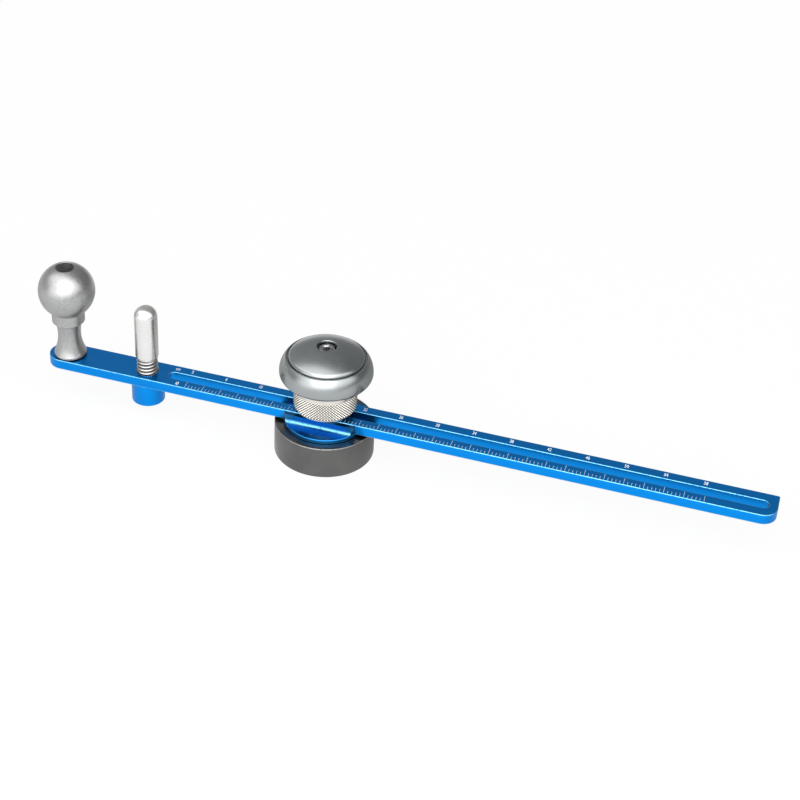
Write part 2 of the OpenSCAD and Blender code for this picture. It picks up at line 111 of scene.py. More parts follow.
def rounded(corners, closed=True, steps=6):
    """Rows r, z, edge of a profile with rounded corners.

    Each corner is r, z, radius. An arc of that radius touches both sides at
    radius / tan(half the corner's angle) from it. Going up the outside, the metal is on the left.
    """
    c = np.array(corners, dtype=float)
    if not closed:
        c[[0, -1], 2] = 0
    p = c[:, :2]
    back = np.roll(p, 1, axis=0) - p
    ahead = np.roll(p, -1, axis=0) - p
    reach = np.minimum(np.linalg.norm(back, axis=1), np.linalg.norm(ahead, axis=1))
    u = back / np.maximum(np.linalg.norm(back, axis=1, keepdims=True), 1e-9)
    v = ahead / np.maximum(np.linalg.norm(ahead, axis=1, keepdims=True), 1e-9)
    half = np.arccos(np.clip((u * v).sum(axis=1), -1, 1)) / 2
    half = np.clip(half, 0.01, np.pi / 2 - 0.001)
    cut = np.minimum(c[:, 2] / np.tan(half), 0.95 * reach)
    hold = np.where(c[:, 2] > 0, np.minimum(HOLD, 0.1 * reach), 0)
    middle = u + v
    middle = middle / np.maximum(np.linalg.norm(middle, axis=1, keepdims=True), 1e-9)
    centre = p + middle * (cut / np.cos(half))[:, None]
    start = p + u * cut[:, None] - centre
    end = p + v * cut[:, None] - centre
    sweep = (np.pi - 2 * half)[:, None]
    t = np.linspace(0, 1, steps)[None, :]
    a = np.sin((1 - t) * sweep) / np.sin(sweep)
    b = np.sin(t * sweep) / np.sin(sweep)
    bend = centre[:, None] + a[..., None] * start[:, None] + b[..., None] * end[:, None]
    before = (p + u * (cut + hold)[:, None])[:, None]
    after = (p + v * (cut + hold)[:, None])[:, None]
    path = np.concatenate([before, bend, after], axis=1)
    # Convex rounded corners are marked for edge wear, which some finishes also use as a painted
    # highlight.
    convex = (u[:, 1] * v[:, 0] - u[:, 0] * v[:, 1] > 0.05) & (c[:, 2] > 0) & (c[:, 2] < 1)
    wear_and_highlight = np.zeros(path.shape[:2])
    wear_and_highlight[:, 1:-1] = convex[:, None]
    rows = np.concatenate([path, wear_and_highlight[..., None]], axis=2).reshape(-1, 3)
    apart = np.linalg.norm(rows[:, :2] - np.roll(rows[:, :2], 1, axis=0), axis=1) > 1e-5
    return rows[apart]


def grid_quads(m, n, wrap_n):
    """Faces of a grid of m rows that closes on itself and n columns, closed too where wrap_n."""
    i = np.arange(m)[:, None]
    j = np.arange(n if wrap_n else n - 1)[None, :]
    row = (i + 1) % m * n
    column = (j + 1) % n
    return np.stack([i * n + j, row + j, row + column, i * n + column], axis=-1).reshape(-1, 4)


def turned(name, rows, closed=True, steps=160, centre=(0, 0, 0), shape=None, lying=False):
    """Turned surface: at angle t, row r, z lies at centre + (r cos t, r sin t, z).

    shape(t, r, z) may change r over the surface and say how deep in a groove each point is.
    A lying piece has its axis along X.
    """
    t = np.linspace(0, 2 * np.pi, steps, endpoint=False)[:, None]
    r = rows[:, 0][None, :]
    z = np.broadcast_to(rows[:, 1][None, :], (steps, len(rows)))
    pit = np.zeros(z.shape)
    if shape is not None:
        r, pit = shape(t, r, z)
    grid = [r * np.cos(t), r * np.sin(t), z]
    if lying:
        grid = [grid[2], grid[0], grid[1]]
    points = np.stack(grid, axis=-1).reshape(-1, 3) + np.array(centre)
    edge = np.broadcast_to(rows[:, 2][None, :], (steps, len(rows))).reshape(-1)
    keep, quads, tris = weld(points, grid_quads(steps, len(rows), closed))
    return put_mesh(name, points[keep], quads.tolist() + tris.tolist(), edge=edge[keep],
                    pit=pit.reshape(-1)[keep])


def arc(r, z, radius, start, end, count):
    """Points of an arc about r, z between two angles in degrees, with no corner radius."""
    a = np.radians(np.linspace(start, end, count))
    return np.stack([r + radius * np.cos(a), z + radius * np.sin(a), 0 * a], axis=1)


print("helpers ready")

# %% [markdown]
# ## Camera, floor and light
# The camera stands where the photograph's did: about 20 degrees round and 33 degrees up, with
# a long lens and a small shift. The floor and the room are white to the camera, and the floor
# keeps a soft shadow. Bright metal shows what stands round it, so in reflections the floor is
# white in front of the tool, grey behind it and white again far behind at the left, and the
# room is bright on the camera's side. One large soft box above the camera gives the highlights.

# %% Camera
CAMERA_AT = (0.21916, -0.70105, 0.55808)
CAMERA_ROUND, CAMERA_UP = 20.65, 32.98
camera = bpy.data.cameras.new("camera")
camera.lens = 75.69
camera.sensor_width = 36
camera.shift_x = 0.1916
camera.shift_y = -0.0986
camera.clip_start = 0.01
camera_obj = bpy.data.objects.new("camera", camera)
camera_obj.location = CAMERA_AT
camera_obj.rotation_euler = np.radians((90 - CAMERA_UP, 0, CAMERA_ROUND))
scene = bpy.context.scene
scene.collection.objects.link(camera_obj)
scene.camera = camera_obj
scene.view_settings.view_transform = "Standard"
print("camera", CAMERA_ROUND, "degrees round and", CAMERA_UP, "degrees up")


# %% Node helper
def node(tree, kind, sockets=None, **settings):
    """Adds a shader node. A socket given as a socket is linked, anything else is its value."""
    made = tree.nodes.new("ShaderNode" + kind)
    for key, value in settings.items():
        setattr(made, key, value)
    for key, value in (sockets or {}).items():
        if isinstance(value, bpy.types.NodeSocket):
            tree.links.new(value, made.inputs[key])
        else:
            made.inputs[key].default_value = value
    return made


def math(tree, kind, a, b=0.0):
    """The output of one Math node."""
    return node(tree, "Math", {0: a, 1: b}, operation=kind).outputs[0]


# %% Floor
def along(tree, way, azimuth):
    """How far a direction points towards an azimuth in degrees (0 is the front): a dot product."""
    a = np.radians(azimuth)
    aim = (np.sin(a), -np.cos(a), 0)
    return node(tree, "VectorMath", {0: way, 1: aim}, operation="DOT_PRODUCT").outputs["Value"]


def seen_from_above(tree, way):
    """A direction with its height taken out, made one unit long."""
    flat = node(tree, "VectorMath", {0: way, 1: (1, 1, 0)}, operation="MULTIPLY").outputs[0]
    return node(tree, "VectorMath", {0: flat}, operation="NORMALIZE").outputs[0]


def ramp(tree, value, low, high):
    """A smooth step from 0 to 1 between two values."""
    return node(tree, "MapRange", {"Value": value, "From Min": low, "From Max": high},
                interpolation_type="SMOOTHSTEP").outputs[0]


def floor_material():
    """White to the camera, with a part of the lit floor for the shadow.

    In reflections the floor is white in front of the tool and grey behind it, as a sheet of
    paper lit from the front is, a little greyer towards its left end, and white again far
    behind at the left. Places on the floor are in metres.
    """
    material = bpy.data.materials.new("studio_floor")
    material.use_nodes = True
    tree = material.node_tree
    tree.nodes.clear()
    path = node(tree, "LightPath")
    seen = path.outputs["Is Camera Ray"]
    mirrored = math(tree, "MAXIMUM", path.outputs["Is Glossy Ray"],
                    path.outputs["Is Transmission Ray"])
    spot = node(tree, "TexCoord").outputs["Object"]
    front = along(tree, seen_from_above(tree, spot), -5)
    paper = node(tree, "MapRange", {"Value": front, "From Min": -0.9, "From Max": 0.7,
                                    "To Min": 0.3, "To Max": 1.0})
    near = ramp(tree, along(tree, spot, 0), -0.01, 0.045)
    end = node(tree, "MapRange", {"Value": along(tree, spot, 90), "From Min": -0.15,
                                  "From Max": 0.12, "To Min": 0.87, "To Max": 1.0})
    near = math(tree, "MULTIPLY", near, end.outputs[0])
    behind = ramp(tree, along(tree, spot, 180), 0.06, 0.2)
    left = ramp(tree, along(tree, spot, -90), -0.04, 0.03)
    beyond = math(tree, "MULTIPLY", math(tree, "MULTIPLY", behind, left), 0.9)
    level = math(tree, "MAXIMUM", paper.outputs[0], near)
    level = math(tree, "MAXIMUM", level, beyond)
    level = math(tree, "MAXIMUM", level, seen)
    share = math(tree, "MAXIMUM", math(tree, "MULTIPLY", mirrored, 0.9),
                 math(tree, "MULTIPLY", seen, 0.93))
    lit = node(tree, "BsdfDiffuse", {"Color": (0.8, 0.8, 0.8, 1)})
    white = node(tree, "Emission", {"Color": level, "Strength": 1.0})
    mix = node(tree, "MixShader", {0: share, 1: lit.outputs[0], 2: white.outputs[0]})
    node(tree, "OutputMaterial", {"Surface": mix.outputs[0]})
    return material


FLOOR_HALF = 4000.0
floor_points = np.array([[-1, -1, 0], [1, -1, 0], [1, 1, 0], [-1, 1, 0]]) * FLOOR_HALF
floor = put_mesh("studio_floor", floor_points, [[0, 1, 2, 3]])
floor.data.materials.append(floor_material())
print("floor", 2 * FLOOR_HALF * MM, "metres wide")


# %% Room and soft box
def room():
    """A room that is bright on the camera's side, from the floor to the ceiling, and dim behind.

    It glows a little low down at the left, and to the camera itself it is plain white.
    """
    world = bpy.data.worlds.new("studio_room")
    world.use_nodes = True
    tree = world.node_tree
    tree.nodes.clear()
    way = node(tree, "TexCoord").outputs["Generated"]
    part = node(tree, "SeparateXYZ", {0: way})
    right, up = part.outputs[0], part.outputs[2]
    reach = ramp(tree, along(tree, way, 14), -0.25, 0.3)
    walls = ramp(tree, along(tree, seen_from_above(tree, way), 22), 0.05, 0.55)
    foot = math(tree, "SUBTRACT", up, math(tree, "MULTIPLY", right, 0.2))
    walls = math(tree, "MULTIPLY", walls, ramp(tree, foot, -0.12, 0.2))
    walls = math(tree, "MULTIPLY", reach, walls)
    ceiling = ramp(tree, along(tree, way, -5), -0.08, 0.06)
    ceiling = math(tree, "MULTIPLY", ceiling, ramp(tree, up, 0.35, 0.7))
    bright = math(tree, "MAXIMUM", walls, ceiling)
    low_down = ramp(tree, math(tree, "SUBTRACT", 0.2, up), 0.0, 0.2)
    left = ramp(tree, along(tree, way, -90), -0.2, 0.3)
    glow = math(tree, "MULTIPLY", math(tree, "MULTIPLY", low_down, left), 0.6)
    dim = math(tree, "SUBTRACT", 0.3, math(tree, "MULTIPLY", right, 0.13))
    dim = math(tree, "MAXIMUM", dim, glow)
    level = node(tree, "MapRange", {"Value": bright, "To Min": dim, "To Max": 1.8}).outputs[0]
    seen = node(tree, "LightPath").outputs["Is Camera Ray"]
    level = math(tree, "MULTIPLY", level, math(tree, "SUBTRACT", 1.0, seen))
    level = math(tree, "ADD", level, seen)
    sky = node(tree, "Background", {"Color": (1, 1, 1, 1), "Strength": level})
    node(tree, "OutputWorld", {"Surface": sky.outputs[0]})
    scene.world = world


AIM_Z = 0.04


def soft_box(name, azimuth, elevation, distance, width, height, power):
    """An area lamp that looks at the tool from an azimuth (0 is the front) and an elevation."""
    lamp = bpy.data.lights.new(name, "AREA")
    lamp.shape = "RECTANGLE"
    lamp.size = width
    lamp.size_y = height
    lamp.energy = power
    a, e = np.radians((azimuth, elevation))
    obj = bpy.data.objects.new(name, lamp)
    obj.location = (distance * np.cos(e) * np.sin(a), -distance * np.cos(e) * np.cos(a),
                    distance * np.sin(e) + AIM_Z)
    obj.rotation_euler = (np.pi / 2 - e, 0, a)
    scene.collection.objects.link(obj)


room()
soft_box("key_box", azimuth=12, elevation=40, distance=0.8, width=0.85, height=0.9, power=3.2)
print("lamps:", len(bpy.data.lights), "in the room", scene.world.name)

# %% [markdown]
# ## Effects that the finishes share
# Turned metal has fine rings about its axis, blasted metal a fine grain, and handled metal
# smudges and worn corners; on some finishes the colour of the worn corners is also a painted
# highlight. Each effect is a node group with its own inputs, built once, that puts out a value
# from 0 to 1. The materials mix them into colour, roughness and bump.


# %% Node groups
def group(name, inputs, output):
    """An empty node group with named inputs and one value as its output."""
    tree = bpy.data.node_groups.new(name, "ShaderNodeTree")
    for label, kind in inputs:
        tree.interface.new_socket(label, in_out="INPUT", socket_type="NodeSocket" + kind)
    tree.interface.new_socket(output, in_out="OUTPUT", socket_type="NodeSocketFloat")
    return tree, tree.nodes.new("NodeGroupInput"), tree.nodes.new("NodeGroupOutput")


def turning_marks():
    """Rings left by the lathe: noise of the distance from the axis and of the height."""
    inputs = [("Position", "Vector"), ("Density", "Float")]
    tree, inside, out = group("turning_marks", inputs, "Mark")
    part = node(tree, "SeparateXYZ", {0: inside.outputs["Position"]})
    flat = node(tree, "CombineXYZ", {0: part.outputs[0], 1: part.outputs[1]})
    radius = node(tree, "VectorMath", {0: flat.outputs[0]}, operation="LENGTH")
    across = math(tree, "MULTIPLY", radius.outputs["Value"], inside.outputs["Density"])
    upward = math(tree, "MULTIPLY", part.outputs[2], inside.outputs["Density"])
    at = node(tree, "CombineXYZ", {0: across, 1: upward})
    noise = node(tree, "TexNoise", {"Vector": at.outputs[0], "Scale": 1.0, "Detail": 3.0},
                 noise_dimensions="2D")
    tree.links.new(noise.outputs[0], out.inputs[0])
    return tree


def noise_group(name, output, low, high, detail):
    """Noise at a given scale, stretched to 0 to 1 between two of its levels."""
    tree, inside, out = group(name, [("Position", "Vector"), ("Scale", "Float")], output)
    noise = node(tree, "TexNoise", {"Vector": inside.outputs["Position"],
                                    "Scale": inside.outputs["Scale"], "Detail": detail})
    level = node(tree, "MapRange", {"Value": noise.outputs[0], "From Min": low, "From Max": high})
    tree.links.new(level.outputs[0], out.inputs[0])
    return tree


def edge_wear_and_highlight():
    """The edge attribute broken up by noise: edge wear, and a painted highlight where a finish's
    edge colour is light.
    """
    tree, inside, out = group("edge_wear_and_highlight", [("Position", "Vector"), ("Edge", "Float")], "WearAndHighlight")
    noise = node(tree, "TexNoise", {"Vector": inside.outputs["Position"],
                                    "Scale": 700.0, "Detail": 3.0})
    level = node(tree, "MapRange", {"Value": noise.outputs[0], "From Min": 0.2, "From Max": 0.5})
    wear_and_highlight_level = math(tree, "MULTIPLY", level.outputs[0], inside.outputs["Edge"])
    tree.links.new(wear_and_highlight_level, out.inputs[0])
    return tree


MARKS = turning_marks()
GRAIN = noise_group("fine_grain", "Grain", 0.25, 0.75, 2.0)
SMUDGE = noise_group("smudges", "Smudge", 0.35, 0.65, 4.0)
EDGE_WEAR_AND_HIGHLIGHT = edge_wear_and_highlight()
print("node groups:", [tree.name for tree in (MARKS, GRAIN, SMUDGE, EDGE_WEAR_AND_HIGHLIGHT)])


# %% [markdown]
# ## Finishes
# One function mixes the shared effects into a finish, and each finish has its own values: how
# metallic it is, its two colours, its roughness, its rings or grain, and the bare colour that
# shows where corners wear, which on the blue bar and boss is also a painted highlight along the
# edges. It also paints shade into the grooves of threads and knurls. The beam's finish has its
# grain drawn out along the bar, as extruded and anodised aluminium has. The boss is turned, so
# its highlight is drawn out by anisotropy.
# The bright metal on the real tool shows no blue, so a Light Path node makes the beam and the
# boss grey where other pieces reflect them.


# %% Finish builder
def use(tree, made, **sockets):
    """Places a node group in a material and returns its first output."""
    holder = tree.nodes.new("ShaderNodeGroup")
    holder.node_tree = made
    for key, value in sockets.items():
        if isinstance(value, bpy.types.NodeSocket):
            tree.links.new(value, holder.inputs[key])
        else:
            holder.inputs[key].default_value = value
    return holder.outputs[0]


def blend(tree, factor, a, b):
    """Mix of two colours by a factor."""
    mix = node(tree, "Mix", {0: factor}, data_type="RGBA")
    for socket, value in ((mix.inputs[6], a), (mix.inputs[7], b)):
        if isinstance(value, bpy.types.NodeSocket):
            tree.links.new(value, socket)
        else:
            socket.default_value = (*value, 1)
    return mix.outputs[2]


MICRON = 1e-6
COAT_ROUGH = 0.12
PAINTED_GROOVE_SHADE = (0.03, 0.025, 0.02)


def finish(name, colour, shade, wear_and_highlight, rough, spread=0.08, metal=1.0, rings=0.0, density=2500.0,
           grain=0.0, fine=2500.0, smudge=60.0, axis=0.0, stretch=(1, 1, 1), coat=0.0, wear_and_highlight_level=0.6,
           painted_groove_shade=0.8, mirrored=None):
    """A finish: colour to shade by smudges, edges worn with a painted highlight, painted shade in
    grooves, rings and grain as bump.

    rings and grain are heights in microns, density and fine are per metre, axis is the X of the
    lathe's axis in millimetres, and stretch draws the grain and the smudges out. mirrored, where
    it is given, is the colour that other pieces reflect.
    """
    material = bpy.data.materials.new(name)
    material.use_nodes = True
    tree = material.node_tree
    surface = tree.nodes["Principled BSDF"]
    surface.inputs["Metallic"].default_value = metal
    surface.inputs["Coat Weight"].default_value = coat
    surface.inputs["Coat Roughness"].default_value = COAT_ROUGH
    place_at = node(tree, "TexCoord").outputs["Object"]
    spot = node(tree, "Mapping", {"Vector": place_at, "Location": (-axis * MM, 0, 0)}).outputs[0]
    drawn = node(tree, "Mapping", {"Vector": place_at, "Scale": stretch}).outputs[0]
    edge = node(tree, "Attribute", attribute_name="edge").outputs["Fac"]
    dirt = use(tree, SMUDGE, Position=drawn, Scale=smudge)
    bits = use(tree, GRAIN, Position=drawn, Scale=fine)
    lathe = use(tree, MARKS, Position=spot, Density=density)
    # Edge wear, which on the blue finishes is also a painted highlight: the edge colour laid along
    # rounded corners.
    wear_and_highlight_mask = math(tree, "MULTIPLY", use(tree, EDGE_WEAR_AND_HIGHLIGHT, Position=place_at, Edge=edge), wear_and_highlight_level)
    tone = blend(tree, dirt, colour, shade)
    pit = node(tree, "Attribute", attribute_name="pit").outputs["Fac"]
    # Painted shade: how deep a point lies in a thread or knurl groove (the pit attribute) darkens
    # its colour towards near black.
    tone = blend(tree, math(tree, "MULTIPLY", pit, painted_groove_shade), tone, PAINTED_GROOVE_SHADE)
    tone = blend(tree, wear_and_highlight_mask, tone, wear_and_highlight)
    if mirrored is not None:
        tone = blend(tree, node(tree, "LightPath").outputs["Is Glossy Ray"], tone, mirrored)
    tree.links.new(tone, surface.inputs["Base Color"])
    change = math(tree, "ADD", math(tree, "MULTIPLY", dirt, spread), rough - spread / 2)
    tree.links.new(change, surface.inputs["Roughness"])
    height = math(tree, "ADD", math(tree, "MULTIPLY", lathe, rings),
                  math(tree, "MULTIPLY", bits, grain))
    bump = node(tree, "Bump", {"Height": height, "Distance": MICRON, "Strength": 1.0})
    tree.links.new(bump.outputs[0], surface.inputs["Normal"])
    return material


# %% The finishes
CUTTER_X = -103.9
HANDLE_X = -151.1
# The blue pieces' edge colour is partly bare aluminium where edges wear, partly a painted highlight.
BLUE_WORN_AND_HIGHLIGHT = (0.26, 0.7, 0.97)
BLUE_MIRRORED = (0.24, 0.25, 0.27)
blue = finish("blue_anodised", (0.001, 0.295, 0.90), (0.002, 0.325, 0.97), BLUE_WORN_AND_HIGHLIGHT, 0.36,
              grain=1.5, fine=6000.0, stretch=(0.03, 1, 1), coat=0.1, wear_and_highlight_level=0.85,
              mirrored=BLUE_MIRRORED)
blue_boss = finish("blue_anodised_boss", (0.001, 0.27, 0.84), (0.002, 0.30, 0.91), BLUE_WORN_AND_HIGHLIGHT, 0.3,
                   rings=1.5, coat=0.1, wear_and_highlight_level=0.85, axis=CUTTER_X, mirrored=BLUE_MIRRORED)
boss_surface = blue_boss.node_tree.nodes["Principled BSDF"]
boss_surface.inputs["Anisotropic"].default_value = 0.8
boss_surface.inputs["Anisotropic Rotation"].default_value = 0.25
# The carriage's third colour is the painted highlight in its coves.
blue_dull = finish("blue_anodised_carriage", (0.002, 0.16, 0.43), (0.003, 0.18, 0.47),
                   (0.14, 0.42, 0.60), 0.3, grain=2.5, fine=3000.0, coat=0.35, wear_and_highlight_level=1.0)
satin = finish("satin_aluminium", (0.375, 0.40, 0.405), (0.405, 0.43, 0.435),
               (0.55, 0.55, 0.55), 0.28, rings=2.0, grain=2.0, fine=4000.0)
satin_ball = finish("satin_aluminium_ball", (0.44, 0.443, 0.445), (0.52, 0.523, 0.525),
                    (0.85, 0.85, 0.85), 0.37, rings=1.5, grain=14.0, fine=1900.0, smudge=800.0,
                    axis=HANDLE_X)
steel = finish("bright_steel", (0.72, 0.71, 0.69), (0.80, 0.79, 0.77), (0.85, 0.85, 0.84), 0.22,
               rings=1.2, density=4000.0)
post_steel = finish("bright_steel_post", (0.87, 0.865, 0.855), (0.92, 0.915, 0.905),
                    (0.94, 0.94, 0.93), 0.3, rings=1.2, density=4000.0, axis=CUTTER_X, painted_groove_shade=0.97)
screw_steel = finish("dull_steel_screw", (0.33, 0.345, 0.35), (0.38, 0.395, 0.40),
                     (0.8, 0.8, 0.8), 0.2, rings=1.2, density=4000.0)
nickel = finish("nickel_plate", (0.76, 0.735, 0.67), (0.82, 0.79, 0.73), (0.9, 0.88, 0.84), 0.2,
                rings=1.0, painted_groove_shade=0.97)
dark = finish("dark_steel", (0.13, 0.13, 0.13), (0.16, 0.158, 0.155), (0.45, 0.45, 0.45), 0.3,
              rings=2.5, grain=1.0)
rubber = finish("pad_rubber", (0.018, 0.018, 0.018), (0.03, 0.03, 0.03), (0.06, 0.06, 0.06), 0.75,
                metal=0.0, grain=12.0, fine=1800.0)
bronze = finish("sintered_bronze", (0.50, 0.33, 0.16), (0.42, 0.27, 0.13), (0.6, 0.42, 0.22), 0.4,
                grain=5.0, fine=3500.0)
BRASS = ((0.72, 0.52, 0.22), (0.62, 0.45, 0.19), (0.8, 0.62, 0.3))
brass = finish("turned_brass", *BRASS, 0.25, rings=2.0)
brass_head = finish("turned_brass_head", *BRASS, 0.25, rings=2.0, axis=CUTTER_X)
nylon = finish("black_nylon", (0.02, 0.02, 0.02), (0.03, 0.03, 0.03), (0.05, 0.05, 0.05), 0.5,
               metal=0.0, grain=3.0)
paint = finish("number_paint", (0.90, 0.93, 0.96), (0.82, 0.86, 0.90), (0.8, 0.8, 0.8), 0.55,
               metal=0.0, grain=2.0, fine=5000.0, smudge=400.0)
thin_paint = finish("mark_paint", (0.50, 0.64, 0.78), (0.40, 0.54, 0.68), (0.8, 0.8, 0.8), 0.55,
                    metal=0.0, grain=2.0, fine=5000.0, smudge=400.0)
print("finishes:", len(bpy.data.materials))

# %% [markdown]
# ## Base
# A heavy steel disc, turned and darkened, with a bearing seat in its top and a rubber pad let
# into its underside. Its profile is turned whole, with the recesses that the pad, the washer
# and the bush sit in, because they show from below and when the carriage is lifted away.

# %% Base and pad
BASE_R, BASE_FOOT, BASE_TOP = 27.1, 0.5, 19
PAD_R, PAD_TOP = 26.1, 2.4
FLANGE_R, FLANGE_Z = 15.25, 18.1
BUSH_R, BUSH_Z, POCKET_R = 10.01, 6, 12.4
base_profile = rounded([(PAD_R + 0.01, BASE_FOOT, 0.1), (BASE_R, BASE_FOOT, 0.35),
                        (BASE_R, BASE_TOP, 0.4), (FLANGE_R, BASE_TOP, 0.15),
                        (FLANGE_R, FLANGE_Z, 0.05), (BUSH_R, FLANGE_Z, 0.05),
                        (BUSH_R, BUSH_Z, 0.05), (POCKET_R, BUSH_Z, 0.05),
                        (POCKET_R, PAD_TOP, 0.05), (PAD_R + 0.01, PAD_TOP, 0.05)])
place(turned("base_turned", base_profile), "base", "dark_steel", dark, "base_body")
pad_profile = rounded([(0, 0, 0), (PAD_R, 0, 0.4), (PAD_R, PAD_TOP, 0.1), (0, PAD_TOP, 0)],
                      closed=False)
place(turned("pad_disc", pad_profile, closed=False), "base", "pad_rubber", rubber, "base_pad")


# %% [markdown]
# ## Carriage
# The carriage is a turned disc with a channel milled across it between two guide walls. That
# is neither a turned nor a swept shape, and the CAD solid already has its coves and bevels, so
# a merged copy of it is used, with a Bevel modifier that breaks its sharp edges. The middle of
# the cove at each wall's foot is painted lighter with the finish's edge colour, a painted
# highlight.

# %% Merged copies of CAD solids
SHARP = np.radians(32)


def merged_copy(name, source, width, mask=None):
    """A copy of a CAD node with its loose triangles merged, flats joined and edges bevelled.

    mask(points) may say where its finish takes its edge colour; the carriage's mask paints a
    highlight there.
    """
    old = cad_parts[source].data
    points = np.empty(len(old.vertices) * 3)
    old.vertices.foreach_get("co", points)
    corners = np.empty(len(old.loops), dtype=np.int32)
    old.loops.foreach_get("vertex_index", corners)
    obj = put_mesh(name, points.reshape(-1, 3) / MM, corners.reshape(-1, 3).tolist())
    work = bmesh.new()
    work.from_mesh(obj.data)
    bmesh.ops.remove_doubles(work, verts=work.verts, dist=1e-6)
    bmesh.ops.dissolve_limit(work, angle_limit=0.02, verts=work.verts, edges=work.edges)
    work.to_mesh(obj.data)
    work.free()
    if mask is not None:
        spots = np.empty(len(obj.data.vertices) * 3)
        obj.data.vertices.foreach_get("co", spots)
        wear_and_highlight = obj.data.attributes.new("edge", "FLOAT", "POINT")
        wear_and_highlight.data.foreach_set("value", mask(spots.reshape(-1, 3) / MM).astype(np.float32))
    obj.data.set_sharp_from_angle(angle=SHARP)
    bevel = obj.modifiers.new("broken_edges", "BEVEL")
    bevel.width = width * MM
    bevel.segments = 3
    bevel.limit_method = "ANGLE"
    bevel.angle_limit = SHARP
    bevel.harden_normals = True
    return obj


# %% Carriage
COVE_Y, COVE_Z, COVE_R = 13.9, 23.3, 1.9


def cove_painted_highlight(points):
    """A painted highlight: 1 in the middle of the cove at each wall's foot, 0 at its ends: root of
    sin(2 * angle).
    """
    inward = COVE_Y - np.abs(points[:, 1])
    down = COVE_Z - points[:, 2]
    on_cove = np.abs(np.hypot(inward, down) - COVE_R) < 0.01
    return on_cove * np.sqrt(np.clip(np.sin(2 * np.arctan2(down, inward)), 0, 1))


carriage = merged_copy("carriage_milled", "carriage", 0.2, cove_painted_highlight)
place(carriage, "carriage", "blue_anodised", blue_dull, "carriage")

# %% [markdown]
# ## Beam
# A flat bar of blue anodised aluminium with a long slot. Its outer edge, the slot and the two
# holes are each a loop of arcs, and an edge profile with a rounded corner at top and bottom is
# carried along each loop. The flat faces between the loops are filled with triangles that keep
# to the loops. The underside stands a hundredth of a millimetre clear of the carriage, so that
# the two faces don't coincide.

# %% Beam sizes from the frame
SLIDE_GAP = 0.01
low, high = (np.array(corner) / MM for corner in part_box("beam"))
BEAM_Z, BEAM_TOP = low[2] + SLIDE_GAP, high[2]
HALF = (high[1] - low[1]) / 2
SLOT_FROM, SLOT_TO, SLOT_R = -90.8, 232.4, 3.1
EDGE = 0.38
print("beam from", low.round(2), "to", high.round(2))

# %% Loops and edge bands
ARC_STEPS = 40


def loop(arcs, inward=False):
    """Points and outward normals of arcs joined by straight lines.

    Each arc is x, y, radius, first angle and last angle in degrees. The rim of a hole runs the
    other way, and its normals point into the hole.
    """
    angles = np.radians(np.concatenate([np.linspace(a[3], a[4], ARC_STEPS) for a in arcs]))
    about = np.repeat(np.array([a[:3] for a in arcs], dtype=float), ARC_STEPS, axis=0)
    way = np.stack([np.cos(angles), np.sin(angles)], axis=1)
    points = about[:, :2] + about[:, 2:] * way
    return (points[::-1], -way[::-1]) if inward else (points, way)


def band(ring, rows):
    """Carries rows of offset and height along a loop: point + normal * offset, at that height."""
    points, way = ring
    flat = points[:, None] + way[:, None] * rows[None, :, :1]
    z = np.broadcast_to(rows[None, :, 1:2], (*flat.shape[:2], 1))
    grid = np.concatenate([flat, z], axis=2).reshape(-1, 3)
    edge = np.broadcast_to(rows[None, :, 2], flat.shape[:2]).reshape(-1)
    return grid, grid_quads(len(points), len(rows), False), edge


INSET = 0.9
SEAT_W, SEAT_Z = 1.21, 24.8
POST_HOLE_R, SCREW_HOLE_R = 6.1, 3.01
NOSE_R, CORNER_R = 8.0, 1
plain_edge = rounded([(-INSET, BEAM_Z, 0), (0, BEAM_Z, EDGE), (0, BEAM_TOP, EDGE),
                      (-INSET, BEAM_TOP, 0)], closed=False)
step_edge = rounded([(-2 * INSET, BEAM_Z, 0), (-SEAT_W, BEAM_Z, 0.1), (-SEAT_W, SEAT_Z, 0.1),
                     (0, SEAT_Z, 0.1), (0, BEAM_TOP, EDGE), (-INSET, BEAM_TOP, 0)], closed=False)
outside = loop([(low[0] + HALF, 0, HALF, 90, 270),
                (high[0] - NOSE_R, NOSE_R - HALF, NOSE_R, 270, 360),
                (high[0] - CORNER_R, HALF - CORNER_R, CORNER_R, 0, 90)])
slot = loop([(SLOT_FROM + SLOT_R, 0, SLOT_R, 90, 270),
             (SLOT_TO - SLOT_R, 0, SLOT_R, 270, 450)], inward=True)
post_hole = loop([(CUTTER_X, 0, POST_HOLE_R, 0, 180), (CUTTER_X, 0, POST_HOLE_R, 180, 360)],
                 inward=True)
screw_hole = loop([(HANDLE_X, 0, SCREW_HOLE_R, 0, 180), (HANDLE_X, 0, SCREW_HOLE_R, 180, 360)],
                  inward=True)
rims = ((outside, plain_edge), (slot, plain_edge), (post_hole, step_edge), (screw_hole, plain_edge))
bands = [band(ring, rows) for ring, rows in rims]
lengths = [(len(ring[0]), len(rows)) for ring, rows in rims]
print("edge bands:", lengths)


# %% Flat faces between the loops
def fill(points, loops):
    """Triangles of the flat face between an outer loop and its holes, as indices of points.

    A triangle with all its corners on one hole lies inside that hole, and is left out.
    """
    ids = np.concatenate(loops)
    sizes = [len(ring) for ring in loops]
    count = np.cumsum([0] + sizes)
    edges = [np.stack([np.arange(a, b), np.roll(np.arange(a, b), -1)], axis=1)
             for a, b in zip(count[:-1], count[1:])]
    flat = list(map(Vector, points[ids, :2].tolist()))
    made = delaunay_2d_cdt(flat, np.concatenate(edges).tolist(), [], 1, 1e-6)
    back = np.array([origin[0] for origin in made[3]])[np.array(made[2])]
    part = np.repeat(np.arange(len(loops)), sizes)[back]
    hole = (part == part[:, :1]).all(axis=1) & (part[:, 0] > 0)
    return ids[back[~hole]][:, [0, 1, 2, 2]]


